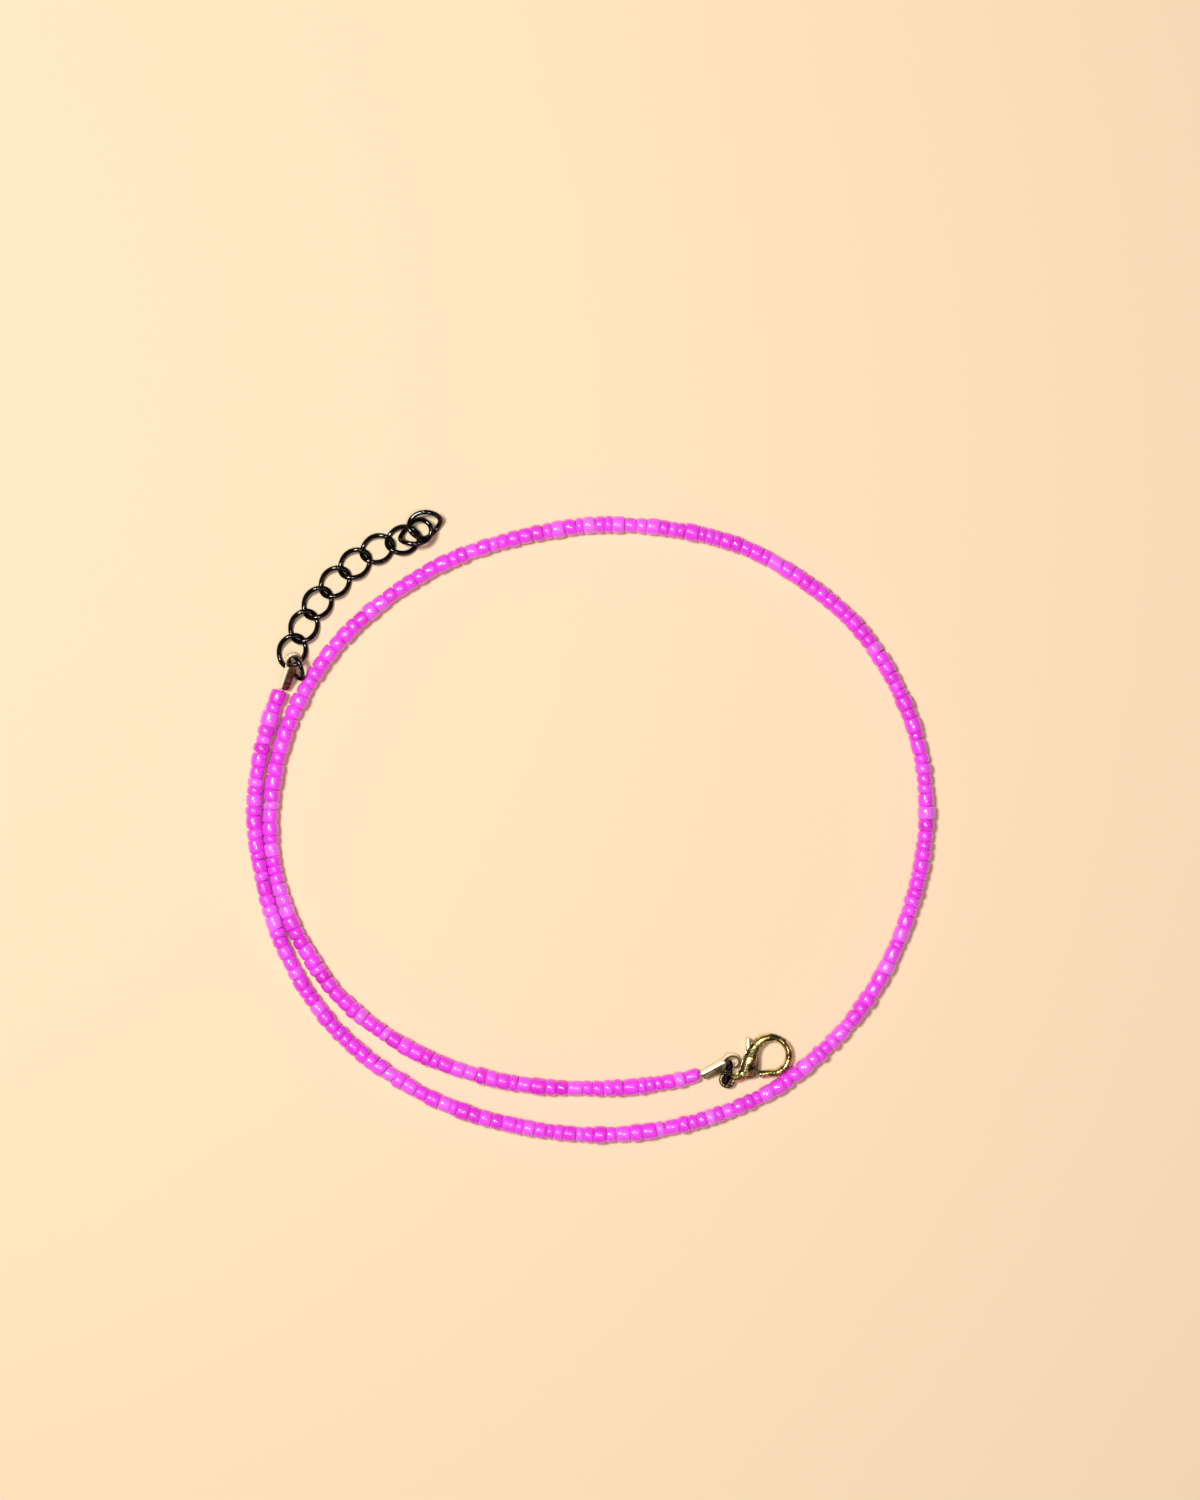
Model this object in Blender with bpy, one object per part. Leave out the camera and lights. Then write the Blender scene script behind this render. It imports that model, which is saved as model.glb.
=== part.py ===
"""Seed bead necklace lying open on a surface.

One string of magenta seed beads lies in about one and a half turns. Each end of the string is held
in a folded metal crimp end with a hook. One hook carries a jump ring and an extension chain of
twisted oval links, the other a jump ring and a lobster clasp with a sprung lever. The beads
themselves are too small and too many to be pieces here, so their string is one tube.

Sizes are in millimetres and are turned into metres where the objects are made.
"""

import math

import bmesh
import bpy
from mathutils import Matrix, Vector

MM = 0.001

# String of beads
BEAD_DIAMETER = 2.2
STRAND_POINT_SPACING = 2.45  # distance between the tube's points, in bead diameters
STRAND_TILT = math.radians(22.5)  # turns the tube's eight sides so that one lies flat underneath

# Route of the string, seen from above, from the chain's crimp round to the clasp's crimp
STRAND_ROUTE = [
    (-47.95, 21.0), (-49.3, 17.2), (-51.2, 10.0), (-52.0, 2.0), (-51.3, -5.3), (-49.3, -13.7),
    (-45.6, -22.6), (-39.7, -31.0), (-31.2, -38.2), (-21.0, -43.6), (-8.9, -46.8), (3.4, -47.7),
    (15.7, -45.85), (25.8, -42.1), (32.6, -37.7), (40.0, -30.6), (45.9, -21.6), (50.2, -10.4),
    (52.0, 1.0), (50.8, 12.6), (46.9, 22.6), (40.8, 31.4), (32.8, 38.1), (23.6, 43.2),
    (12.8, 45.9), (1.4, 46.6), (-10.0, 44.9), (-21.9, 41.0), (-32.5, 34.4), (-40.2, 26.8),
    (-46.0, 17.2), (-48.9, 7.2), (-49.3, -2.6), (-47.5, -11.3), (-44.1, -18.9), (-38.2, -26.9),
    (-28.9, -33.9), (-18.8, -38.1), (-8.1, -40.2), (3.4, -40.5), (12.5, -39.5), (16.8, -38.35),
]

# Crimp ends: folded sheet with a hook of narrower strip
CRIMP_LENGTH = 4.1
CRIMP_HEIGHT = 1.3
CRIMP_SHEET = 0.3
FLAP_WIDTH_AT_BEADS = 1.3
FLAP_WIDTH_AT_HOOK = 1.8
FLAP_PINCH = 0.1  # how far each flap's free edge is pressed in
HOOK_STRIP_WIDTH = 0.9
HOOK_STRIP_SHEET = 0.26
HOOK_RADIUS = 1.15
HOOK_STANDOFF = 0.9  # from the end of the flaps to the hook's centre
HOOK_SHIFT = 0.1  # how far the hook's outer side stands past the spine
STRIP_ROOT = 0.8  # length of the strip inside the flaps
HOOK_START_ANGLE = 130.0
HOOK_END_ANGLE = -98.0
HOOK_STEPS = 11
CRIMP_CLEARANCE = 0.4  # from the end of the string to the crimp
SPINE_OFFSET = 0.2  # the spine stands this far to the left of the string's centre line
CRIMP_ROLL = 28.0  # the crimps are rolled over, so that the spine faces up and to the left
CHAIN_CRIMP_HEADING = 71.0
CLASP_CRIMP_HEADING = 29.0
CLASP_CRIMP_LEVEL = 0.11  # from the floor to the flap under the hook's end
LINK_UNDER_CRIMP = 0.87  # height of the first link's end under the crimp, as a share of the link's height
CHAIN_RING_IN_HOOK = (0.5, -0.1)  # where the ring's wire passes: along and across from the hook's centre
CLASP_RING_IN_HOOK = (-0.3, -0.4)  # as shares of the hook's radius

# Chain links and jump rings
LINK_LENGTH = 5.8
LINK_WIDTH = 4.75
LINK_WIRE = 0.7
LINK_CLEARANCE = 0.2
LINK_SIDES = 16
TWIST_MARGIN = 1.12
CHAIN_RUN_LINKS = 7
JUMP_RING_WIRE = 0.62
CHAIN_RING_DIAMETER = 4.5
CHAIN_RING_HEADING = 116.0  # direction of the ring's level diameter, seen from above
CHAIN_RING_LEAN = -64.0  # angle from lying flat
CLASP_RING_DIAMETER = 3.8
CLASP_RING_HEADING = 80.0
CLASP_RING_LEAN = 75.0
FLOOR_CLEARANCE = 0.02

# Route of the chain's centre line, seen from above; it is shifted so that the first link holds the ring
CHAIN_ROUTE = [
    (-46.1, 27.1), (-44.3, 30.9), (-42.2, 34.5), (-39.5, 37.7), (-36.5, 40.5), (-33.1, 42.8),
    (-28.9, 44.3), (-25.0, 45.1),
]

# Lobster clasp: its claw is an arc round a centre, its body a loft that starts at the eye
CLAW_RADIUS = 2.7
CLAW_WIDTH = 1.08
CLAW_HEIGHT = 1.6
CLASP_HEIGHT = 2.4
EYE_RADIUS = 0.96
EYE_WIRE = 0.6
LEVER_THICKNESS = 0.8
LEVER_CLEARANCE = 0.1
SLOT_END_CLEARANCE = 0.4
LEVER_BOSS_RADIUS = 0.75
PIN_RADIUS = 0.3


def metres(point):
    return Vector(point) * MM


def make_material(name, colour, metallic, roughness):
    material = bpy.data.materials.new(name)
    material.use_nodes = True
    shader = material.node_tree.nodes["Principled BSDF"]
    shader.inputs["Base Color"].default_value = (*colour, 1.0)
    shader.inputs["Metallic"].default_value = metallic
    shader.inputs["Roughness"].default_value = roughness
    return material


def add_object(name, data, material):
    piece = bpy.data.objects.new(name, data)
    piece.data.materials.append(material)
    bpy.context.scene.collection.objects.link(piece)
    return piece


def add_mesh(name, mesh_builder, material):
    bmesh.ops.recalc_face_normals(mesh_builder, faces=mesh_builder.faces)
    mesh = bpy.data.meshes.new(name)
    mesh_builder.to_mesh(mesh)
    mesh_builder.free()
    mesh.shade_smooth()
    mesh.set_sharp_from_angle(angle=math.radians(40))
    return add_object(name, mesh, material)


def add_wire(name, points, diameter, resolution, material, closed, tilt=0.0):
    """A round wire or tube along points in metres."""
    curve = bpy.data.curves.new(name, "CURVE")
    curve.dimensions = "3D"
    curve.bevel_depth = diameter * MM / 2
    curve.bevel_resolution = resolution
    curve.use_fill_caps = not closed
    spline = curve.splines.new("POLY")
    spline.points.add(len(points) - 1)
    for spline_point, place in zip(spline.points, points):
        spline_point.co = (*place, 1.0)
        spline_point.tilt = tilt
    spline.use_cyclic_u = closed
    return add_object(name, curve, material)


def smooth_path(points, steps=24):
    """Points along a Catmull-Rom curve through the chosen points."""
    knots = [Vector(p) for p in points]
    knots = [2 * knots[0] - knots[1]] + knots + [2 * knots[-1] - knots[-2]]
    path = []
    for before, start, end, after in zip(knots, knots[1:], knots[2:], knots[3:]):
        for step in range(steps):
            t = step / steps
            path.append(0.5 * (2 * start + (end - before) * t
                               + (2 * before - 5 * start + 4 * end - after) * t ** 2
                               + (3 * start - before - 3 * end + after) * t ** 3))
    path.append(knots[-2])
    return path


def path_length(path):
    return sum((b - a).length for a, b in zip(path, path[1:]))


def point_along(path, distance):
    """The place and direction at a distance along a path."""
    for a, b in zip(path, path[1:]):
        step = (b - a).length
        if distance <= step:
            return a.lerp(b, distance / step), (b - a).normalized()
        distance -= step
    direction = (path[-1] - path[-2]).normalized()
    return path[-1] + direction * distance, direction


def pose(place, heading=0.0, pitch=0.0, roll=0.0):
    """A frame at a place, turned by angles in degrees: X points along the piece, Z up."""
    return (Matrix.Translation(metres(place))
            @ Matrix.Rotation(math.radians(heading), 4, "Z")
            @ Matrix.Rotation(math.radians(-pitch), 4, "Y")
            @ Matrix.Rotation(math.radians(roll), 4, "X"))


def loft(mesh_builder, sections):
    """Skin a row of closed sections, given as lists of points, and cap both ends."""
    loops = []
    for section in sections:
        corners = [mesh_builder.verts.new(metres(p)) for p in section]
        loops.append([mesh_builder.edges.new((a, b)) for a, b in zip(corners, corners[1:] + corners[:1])])
    for near, far in zip(loops, loops[1:]):
        bmesh.ops.bridge_loops(mesh_builder, edges=near + far)
    for end in (loops[0], loops[-1]):
        bmesh.ops.contextual_create(mesh_builder, geom=end)


def boolean(piece, operation, helper):
    """Cut or join a helper and keep it out of the finished model."""
    helper.hide_render = True
    helper.display_type = "WIRE"
    modifier = piece.modifiers.new(operation.title(), "BOOLEAN")
    modifier.operation = operation
    modifier.solver = "EXACT"
    modifier.object = helper


# String of beads
def make_strand(material):
    route = smooth_path(STRAND_ROUTE)
    length = path_length(route)
    count = round(length / (STRAND_POINT_SPACING * BEAD_DIAMETER))
    rest_height = strand_rest_height()
    points = []
    for index in range(count + 1):
        place, _ = point_along(route, length * index / count)
        points.append(metres((*place, rest_height)))
    add_wire("bead_strand", points, BEAD_DIAMETER, 2, material, closed=False, tilt=STRAND_TILT)


# Chain and rings
def link_pitch():
    return LINK_LENGTH - 2 * LINK_WIRE - LINK_CLEARANCE


def link_twist():
    """Angle that each end of a link is twisted, so that flat links pass over and under each other."""
    half_length = (LINK_LENGTH - LINK_WIRE) / 2
    half_width = (LINK_WIDTH - LINK_WIRE) / 2
    share = link_pitch() / 2 / half_length
    crossing = half_width * math.sqrt(1 - share ** 2)
    return math.asin((LINK_WIRE + LINK_CLEARANCE) * TWIST_MARGIN / (2 * crossing)) / share


def link_points(frame):
    half_length = (LINK_LENGTH - LINK_WIRE) / 2
    half_width = (LINK_WIDTH - LINK_WIRE) / 2
    twist = link_twist()
    points = []
    for index in range(LINK_SIDES):
        turn = 2 * math.pi * index / LINK_SIDES
        across = half_width * math.sin(turn)
        lean = twist * math.cos(turn)
        points.append(frame @ metres((half_length * math.cos(turn), across * math.cos(lean),
                                      across * math.sin(lean))))
    return points


def link_rest_height():
    lowest = min(p.z for p in link_points(Matrix.Identity(4)))
    return LINK_WIRE / 2 - lowest / MM


# Where the ring passes through the first link: shares of the link's inner half length and half width
RING_IN_LINK = {"along": -0.70, "across": -0.15}

# Links that lie bunched at the chain's free end, from the last link of the run: along and across as
# shares of a link's length and width, up in wire diameters, angles in degrees
BUNCHED_LINKS = [
    {"name": "leaning", "along": 0.38, "across": 0.10, "up": 1.33, "turn": 4.0, "pitch": 10.0, "roll": -27.0},
    {"name": "end", "along": 0.68, "across": 0.26, "up": 1.58, "turn": 0.0, "pitch": -17.0, "roll": 20.0},
]


def plan_turn(degrees):
    return Matrix.Rotation(math.radians(degrees), 2)


def chain_frames(ring):
    route = smooth_path(CHAIN_ROUTE)
    height = link_rest_height()
    inner = Vector((LINK_LENGTH / 2 - LINK_WIRE, LINK_WIDTH / 2 - LINK_WIRE))
    held = Vector((RING_IN_LINK["along"] * inner.x, RING_IN_LINK["across"] * inner.y))
    start, direction = point_along(route, 0)
    first_heading = math.degrees(math.atan2(direction.y, direction.x))
    shift = wire_place(ring, height) - plan_turn(first_heading) @ held - start
    frames = []
    for index in range(CHAIN_RUN_LINKS):
        place, direction = point_along(route, index * link_pitch())
        heading = math.degrees(math.atan2(direction.y, direction.x))
        frames.append(pose((*(place + shift), height), heading))
    last = frames[-1]
    for row in BUNCHED_LINKS:
        place = (row["along"] * LINK_LENGTH, row["across"] * LINK_WIDTH, row["up"] * LINK_WIRE)
        frames.append(last @ pose(place, row["turn"], row["pitch"], row["roll"]))
    return frames


def make_chain(ring, material):
    for number, frame in enumerate(chain_frames(ring), 1):
        add_wire(f"chain_link_{number:02d}", link_points(frame), LINK_WIRE, 1, material, closed=True)


def ring_offset(ring, level, far_side):
    """From a ring's centre to where its wire passes a level, seen from above."""
    lean = math.radians(ring["lean"])
    turn = math.asin((level - ring["height"]) / (ring["radius"] * math.sin(lean)))
    if far_side:
        turn = math.pi - turn
    level_run = ring["radius"] * math.cos(turn)
    sideways = ring["radius"] * math.sin(turn) * math.cos(lean)
    return plan_turn(ring["heading"]) @ Vector((level_run, sideways))


def standing_ring(diameter, heading, lean, held_at):
    """A ring that stands on the floor, leaning, with its wire through the place that holds it."""
    radius = (diameter - JUMP_RING_WIRE) / 2
    height = radius * math.sin(math.radians(abs(lean))) + JUMP_RING_WIRE / 2 + FLOOR_CLEARANCE
    ring = {"radius": radius, "height": height, "heading": heading, "lean": lean}
    ring["centre"] = held_at.xy - ring_offset(ring, held_at.z, far_side=False)
    return ring


def wire_place(ring, level, far_side=False):
    """Where a ring's wire passes a level, on the side that its heading points to or on the far side."""
    return ring["centre"] + ring_offset(ring, level, far_side)


def make_ring(name, ring, material):
    frame = pose((*ring["centre"], ring["height"]), ring["heading"], 0, ring["lean"])
    points = []
    for index in range(LINK_SIDES):
        turn = 2 * math.pi * index / LINK_SIDES
        points.append(frame @ metres((ring["radius"] * math.cos(turn), ring["radius"] * math.sin(turn), 0)))
    add_wire(name, points, JUMP_RING_WIRE, 1, material, closed=True)


# Crimp ends
def crimp_section(along, flap_width):
    half = CRIMP_HEIGHT / 2
    inner = half - CRIMP_SHEET
    edge = half - FLAP_PINCH
    edge_inner = edge - CRIMP_SHEET
    return [(along, 0, -half), (along, 0, half), (along, -flap_width, edge), (along, -flap_width, edge_inner),
            (along, -CRIMP_SHEET, inner), (along, -CRIMP_SHEET, -inner),
            (along, -flap_width, -edge_inner), (along, -flap_width, -edge)]


def hook_centre():
    return Vector((CRIMP_LENGTH + HOOK_STANDOFF, HOOK_SHIFT - HOOK_RADIUS))


def hook_sections():
    middle = -CRIMP_SHEET / 2
    stations = [(Vector((CRIMP_LENGTH - STRIP_ROOT, middle)), Vector((0, 1)))]
    for step in range(HOOK_STEPS + 1):
        angle = math.radians(HOOK_START_ANGLE + (HOOK_END_ANGLE - HOOK_START_ANGLE) * step / HOOK_STEPS)
        outward = Vector((math.cos(angle), math.sin(angle)))
        stations.append((hook_centre() + outward * HOOK_RADIUS, outward))
    half = HOOK_STRIP_WIDTH / 2
    sections = []
    for place, outward in stations:
        inside = place - outward * HOOK_STRIP_SHEET / 2
        outside = place + outward * HOOK_STRIP_SHEET / 2
        sections.append([(*inside, -half), (*outside, -half), (*outside, half), (*inside, half)])
    return sections


def strand_rest_height():
    return BEAD_DIAMETER / 2 * math.cos(STRAND_TILT)


def crimp_depth(flap_width):
    """How far the lower flap's free edge reaches below the crimp's middle line."""
    roll = math.radians(CRIMP_ROLL)
    return flap_width * math.sin(roll) + CRIMP_HEIGHT / 2 * math.cos(roll)


def crimp_frame(strand_end, heading, level_at_hook):
    """A crimp that starts beside the end of the string and rises to a level under its hook's end."""
    start = Vector(strand_end) + plan_turn(heading) @ Vector((CRIMP_CLEARANCE, SPINE_OFFSET))
    start_height = FLOOR_CLEARANCE + crimp_depth(FLAP_WIDTH_AT_BEADS)
    rise = level_at_hook + crimp_depth(FLAP_WIDTH_AT_HOOK) - start_height
    pitch = math.degrees(math.asin(rise / CRIMP_LENGTH))
    return pose((*start, start_height), heading, pitch, CRIMP_ROLL)


def level_over_link():
    """The chain's crimp passes over the end of the chain's first link."""
    return LINK_UNDER_CRIMP * 2 * link_rest_height() + LINK_CLEARANCE


def hook_hold(frame, along, across):
    """Where a hook holds its ring, as shares of the hook's radius from its centre."""
    return frame @ metres((*(hook_centre() + Vector((along, across)) * HOOK_RADIUS), 0)) / MM


def make_crimp(name, frame, material):
    flaps = bmesh.new()
    loft(flaps, [crimp_section(0, FLAP_WIDTH_AT_BEADS), crimp_section(CRIMP_LENGTH, FLAP_WIDTH_AT_HOOK)])
    crimp = add_mesh(name, flaps, material)
    strip = bmesh.new()
    loft(strip, hook_sections())
    hook = add_mesh(name + "_hook_guide", strip, material)
    crimp.matrix_world = frame
    hook.matrix_world = frame
    boolean(crimp, "UNION", hook)


# Lobster clasp
# Sections of the clasp's body from the eye to the claw: place from the claw's centre in claw
# radii, width and height as shares of the clasp's height
CLASP_SECTIONS = [
    {"name": "neck", "x": -2.24, "y": -1.39, "wide": 0.38, "tall": 0.36},
    {"name": "shoulder", "x": -1.94, "y": -1.28, "wide": 0.54, "tall": 0.60},
    {"name": "pivot", "x": -1.53, "y": -0.97, "wide": 0.81, "tall": 0.92},
    {"name": "belly", "x": -1.37, "y": -0.57, "wide": 0.96, "tall": 1.00},
    {"name": "back", "x": -1.21, "y": -0.09, "wide": 0.93, "tall": 0.97},
    {"name": "root", "x": -0.98, "y": 0.45, "wide": 0.72, "tall": 0.84},
]
CLAW_FROM_ANGLE = 140.0
CLAW_ROOT_SWELL = 0.55
CLAW_ROOT_PUSH = 0.075  # how far the claw's root stands out from its arc, as a share of the radius
CLAW_MIDDLE = 0.965  # radius of the claw's middle line, in claw radii
CLAW_STRETCH = 1.05  # the claw's arc is longer from root to tip than it is wide
CLAW_DROP = 0.04  # how far the arc's centre is shifted towards the tip, in claw radii
CLAW_TO_ANGLE = -98.0
CLAW_STEPS = 11
CLAW_TIP = (-0.79, -1.13)  # end of the claw, in claw radii from its centre
TIP_TAPER = 0.95
EYE_PLACE = (-2.574, -1.456)  # middle of the eye, likewise
PIVOT_PLACE = (-1.667, -1.085)  # middle of the lever's pin, likewise
RING_IN_EYE = (0.05, -0.18)  # where the ring's wire passes, from the middle of the eye
PIN_SHARE = 0.8  # length of the lever's pin, in clasp heights
SECTION_SIDES = 12


def clasp_stations(centre):
    """Centre, width and height of each section, from the eye's neck to the claw's tip."""
    stations = []
    for row in CLASP_SECTIONS:
        place = centre + Vector((row["x"], row["y"])) * CLAW_RADIUS
        stations.append((place, row["wide"] * CLASP_HEIGHT, row["tall"] * CLASP_HEIGHT))
    for step in range(CLAW_STEPS + 1):
        angle = math.radians(CLAW_FROM_ANGLE + (CLAW_TO_ANGLE - CLAW_FROM_ANGLE) * step / CLAW_STEPS)
        near_root = max(0.0, 1 - step / 3)
        radius = CLAW_RADIUS * CLAW_MIDDLE * (1 + CLAW_ROOT_PUSH * near_root)
        arc = Vector((math.cos(angle), math.sin(angle) * CLAW_STRETCH)) * radius
        place = centre + arc - Vector((0, CLAW_DROP * CLAW_RADIUS))
        swell = CLAW_ROOT_SWELL * near_root
        stations.append((place, CLAW_WIDTH * (1 + swell), CLAW_HEIGHT * (1 + swell / 4)))
    stations.append((centre + Vector(CLAW_TIP) * CLAW_RADIUS, CLAW_WIDTH * TIP_TAPER,
                     CLAW_HEIGHT * TIP_TAPER))
    return stations


def clasp_section(place, direction, width, height):
    left = Vector((-direction.y, direction.x))
    section = []
    for index in range(SECTION_SIDES):
        angle = 2 * math.pi * (index + 0.5) / SECTION_SIDES
        plan = place + left * (width / 2 * math.cos(angle))
        section.append((*plan, CLASP_HEIGHT / 2 + height / 2 * math.sin(angle)))
    return section


def lever_reach():
    """From the pivot to the end of the tab, which stands beside the root of the claw."""
    return LEVER_SHARE * CLAW_RADIUS


def slot_outline():
    """The lever's room inside the clasp: round its boss, wide where the lever swings."""
    outline = []
    for angle in range(-50, 310, 10):
        reach = BOSS_ROOM_SHARE * CLASP_HEIGHT
        if MOUTH_FROM_ANGLE <= angle < MOUTH_TO_ANGLE:
            reach = MOUTH_SHARE * lever_reach()
        elif MOUTH_TO_ANGLE <= angle <= SLOT_TO_ANGLE:
            reach = GATE_SHARE * lever_reach() + SLOT_END_CLEARANCE
        turn = math.radians(angle)
        outline.append((reach * math.cos(turn), reach * math.sin(turn)))
    return outline


LEVER_SHARE = 2.15  # the lever's reach in claw radii
BOSS_ROOM_SHARE = 0.44  # in clasp heights: a little wider than the body, so that no thin wall is left
GATE_SHARE = 0.80  # reach of the gate as a share of the lever's
MOUTH_SHARE = 0.39  # reach of the slot beside the claw's tip, likewise
MOUTH_FROM_ANGLE = -45
MOUTH_TO_ANGLE = 15
SLOT_TO_ANGLE = 125

# Outline of the lever round its pivot, in shares of its reach: across, along
LEVER_OUTLINE = [
    {"name": "gate foot", "x": 0.172, "y": -0.121},
    {"name": "gate corner", "x": 0.336, "y": -0.078},
    {"name": "gate end", "x": 0.376, "y": 0.026},
    {"name": "gate middle", "x": 0.405, "y": 0.181},
    {"name": "gate upper", "x": 0.414, "y": 0.405},
    {"name": "gate top", "x": 0.386, "y": 0.560},
    {"name": "tab root", "x": 0.214, "y": 0.650},
    {"name": "tab neck", "x": 0.178, "y": 0.760},
    {"name": "tab right", "x": 0.180, "y": 0.935},
    {"name": "tab tip", "x": 0.134, "y": 0.991},
    {"name": "tab left", "x": 0.080, "y": 0.930},
    {"name": "arm upper", "x": 0.082, "y": 0.578},
    {"name": "arm middle", "x": 0.115, "y": 0.371},
    {"name": "arm foot", "x": 0.050, "y": 0.198},
]


def lever_outline():
    outline = [(row["x"] * lever_reach(), row["y"] * lever_reach()) for row in LEVER_OUTLINE]
    for angle in range(140, 280, 20):
        turn = math.radians(angle)
        outline.append((LEVER_BOSS_RADIUS * math.cos(turn), LEVER_BOSS_RADIUS * math.sin(turn)))
    return outline


def add_plate(name, outline, low, high, material):
    """A flat plate of a closed outline, between two heights."""
    plate = bmesh.new()
    corners = [plate.verts.new(metres((*p, low))) for p in outline]
    base = plate.faces.new(corners)
    raised = bmesh.ops.extrude_face_region(plate, geom=[base])["geom"]
    top = [item for item in raised if isinstance(item, bmesh.types.BMVert)]
    bmesh.ops.translate(plate, vec=metres((0, 0, high - low)), verts=top)
    return add_mesh(name, plate, material)


def add_pin(name, radius, low, high, material):
    pin = bmesh.new()
    bmesh.ops.create_cone(pin, cap_ends=True, segments=16, radius1=radius * MM, radius2=radius * MM,
                          depth=(high - low) * MM,
                          matrix=Matrix.Translation(metres((0, 0, (high + low) / 2))))
    return add_mesh(name, pin, material)


def make_clasp(ring, material):
    middle = CLASP_HEIGHT / 2
    eye_centre = wire_place(ring, middle, far_side=True) - Vector(RING_IN_EYE)
    claw_centre = eye_centre - Vector(EYE_PLACE) * CLAW_RADIUS
    pivot = claw_centre + Vector(PIVOT_PLACE) * CLAW_RADIUS
    stations = clasp_stations(claw_centre)
    sections = []
    for index, (place, width, height) in enumerate(stations):
        before = stations[max(index - 1, 0)][0]
        after = stations[min(index + 1, len(stations) - 1)][0]
        sections.append(clasp_section(place, (after - before).normalized(), width, height))
    skin = bmesh.new()
    loft(skin, sections)
    body = add_mesh("clasp_body", skin, material)

    half_lever = LEVER_THICKNESS / 2
    at_pivot = Matrix.Translation(metres((*pivot, middle)))
    slot = add_plate("slot_guide", slot_outline(), -half_lever - LEVER_CLEARANCE,
                     half_lever + LEVER_CLEARANCE, material)
    slot.matrix_world = at_pivot
    boolean(body, "DIFFERENCE", slot)
    half_pin = PIN_SHARE * CLASP_HEIGHT / 2
    pin = add_pin("pin_guide", PIN_RADIUS, -half_pin, half_pin, material)
    pin.matrix_world = at_pivot
    boolean(body, "UNION", pin)
    bpy.ops.mesh.primitive_torus_add(major_radius=EYE_RADIUS * MM, minor_radius=EYE_WIRE / 2 * MM,
                                     major_segments=16, minor_segments=8)
    eye = bpy.context.object
    eye.name = "eye_guide"
    eye.location = metres((*eye_centre, middle))
    boolean(body, "UNION", eye)

    lever = add_plate("clasp_lever", lever_outline(), -half_lever, half_lever, material)
    lever.matrix_world = at_pivot
    hole = add_pin("pin_hole_guide", PIN_RADIUS + LEVER_CLEARANCE, -LEVER_THICKNESS, LEVER_THICKNESS, material)
    hole.matrix_world = at_pivot
    boolean(lever, "DIFFERENCE", hole)


def build():
    for old in list(bpy.data.objects):
        bpy.data.objects.remove(old)
    glass = make_material("magenta_glass", (0.85, 0.05, 0.62), 0.0, 0.12)
    gunmetal = make_material("gunmetal_wire", (0.02, 0.02, 0.022), 1.0, 0.22)
    brass = make_material("antique_brass", (0.42, 0.32, 0.12), 1.0, 0.35)

    make_strand(glass)

    chain_end = crimp_frame(STRAND_ROUTE[0], CHAIN_CRIMP_HEADING, level_over_link())
    make_crimp("chain_crimp", chain_end, brass)
    chain_ring = standing_ring(CHAIN_RING_DIAMETER, CHAIN_RING_HEADING, CHAIN_RING_LEAN,
                               hook_hold(chain_end, *CHAIN_RING_IN_HOOK))
    make_ring("chain_jump_ring", chain_ring, gunmetal)
    make_chain(chain_ring, gunmetal)

    clasp_end = crimp_frame(STRAND_ROUTE[-1], CLASP_CRIMP_HEADING, CLASP_CRIMP_LEVEL)
    make_crimp("clasp_crimp", clasp_end, brass)
    clasp_ring = standing_ring(CLASP_RING_DIAMETER, CLASP_RING_HEADING, CLASP_RING_LEAN,
                               hook_hold(clasp_end, *CLASP_RING_IN_HOOK))
    make_ring("clasp_jump_ring", clasp_ring, gunmetal)
    make_clasp(clasp_ring, brass)


build()
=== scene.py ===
# %% [markdown]
# # A seed bead necklace, laid out on a pale table
# One long string of glossy magenta seed beads lies in a turn and a half. Each end of the string is
# held in a folded brass end with a little hook. One hook carries a gunmetal chain that makes the
# necklace longer or shorter, the other a small lobster clasp.
# The shapes that have to fit and move are already settled, so this lesson starts by loading them, and
# then dresses each one: beads in place of a plain tube, round wire in place of faceted wire, and the
# finish of glass, plated wire and worn brass.

# %% Load the model that the looks are built around
import math
import random

import bmesh
import bpy
import numpy as np
from mathutils import Matrix, Vector


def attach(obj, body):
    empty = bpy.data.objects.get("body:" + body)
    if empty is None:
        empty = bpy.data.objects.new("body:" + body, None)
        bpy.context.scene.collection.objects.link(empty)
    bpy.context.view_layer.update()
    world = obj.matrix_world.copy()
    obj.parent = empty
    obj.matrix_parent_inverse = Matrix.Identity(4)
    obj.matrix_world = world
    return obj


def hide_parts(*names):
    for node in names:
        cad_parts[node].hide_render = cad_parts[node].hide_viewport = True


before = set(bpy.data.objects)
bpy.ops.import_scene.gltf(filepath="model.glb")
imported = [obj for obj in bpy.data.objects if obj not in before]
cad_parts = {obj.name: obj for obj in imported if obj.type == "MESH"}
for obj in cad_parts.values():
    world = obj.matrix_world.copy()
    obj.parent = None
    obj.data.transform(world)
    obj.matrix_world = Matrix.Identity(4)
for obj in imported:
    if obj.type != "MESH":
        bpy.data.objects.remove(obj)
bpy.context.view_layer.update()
MM = 0.001

# %% [markdown]
# ## Camera
# The necklace was seen from straight above. A long lens from half a metre keeps the little chain and
# the clasp free of perspective. The picture is taller than wide, so the sensor's width is the
# picture's height.

# %% Camera
PICTURE_HEIGHT = 232.5 * MM
PICTURE_MIDDLE = Vector((1.55, 11.78, 0.0)) * MM
LENS = 85.0
SENSOR = 36.0

camera = bpy.data.objects.new("camera", bpy.data.cameras.new("camera"))
camera.data.lens = LENS
camera.data.sensor_width = SENSOR
camera.location = PICTURE_MIDDLE + Vector((0, 0, PICTURE_HEIGHT * LENS / SENSOR))
camera.data.clip_start = 0.01
bpy.context.scene.collection.objects.link(camera)
bpy.context.scene.camera = camera
print("camera height in mm:", round(camera.location.z / MM))

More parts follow.
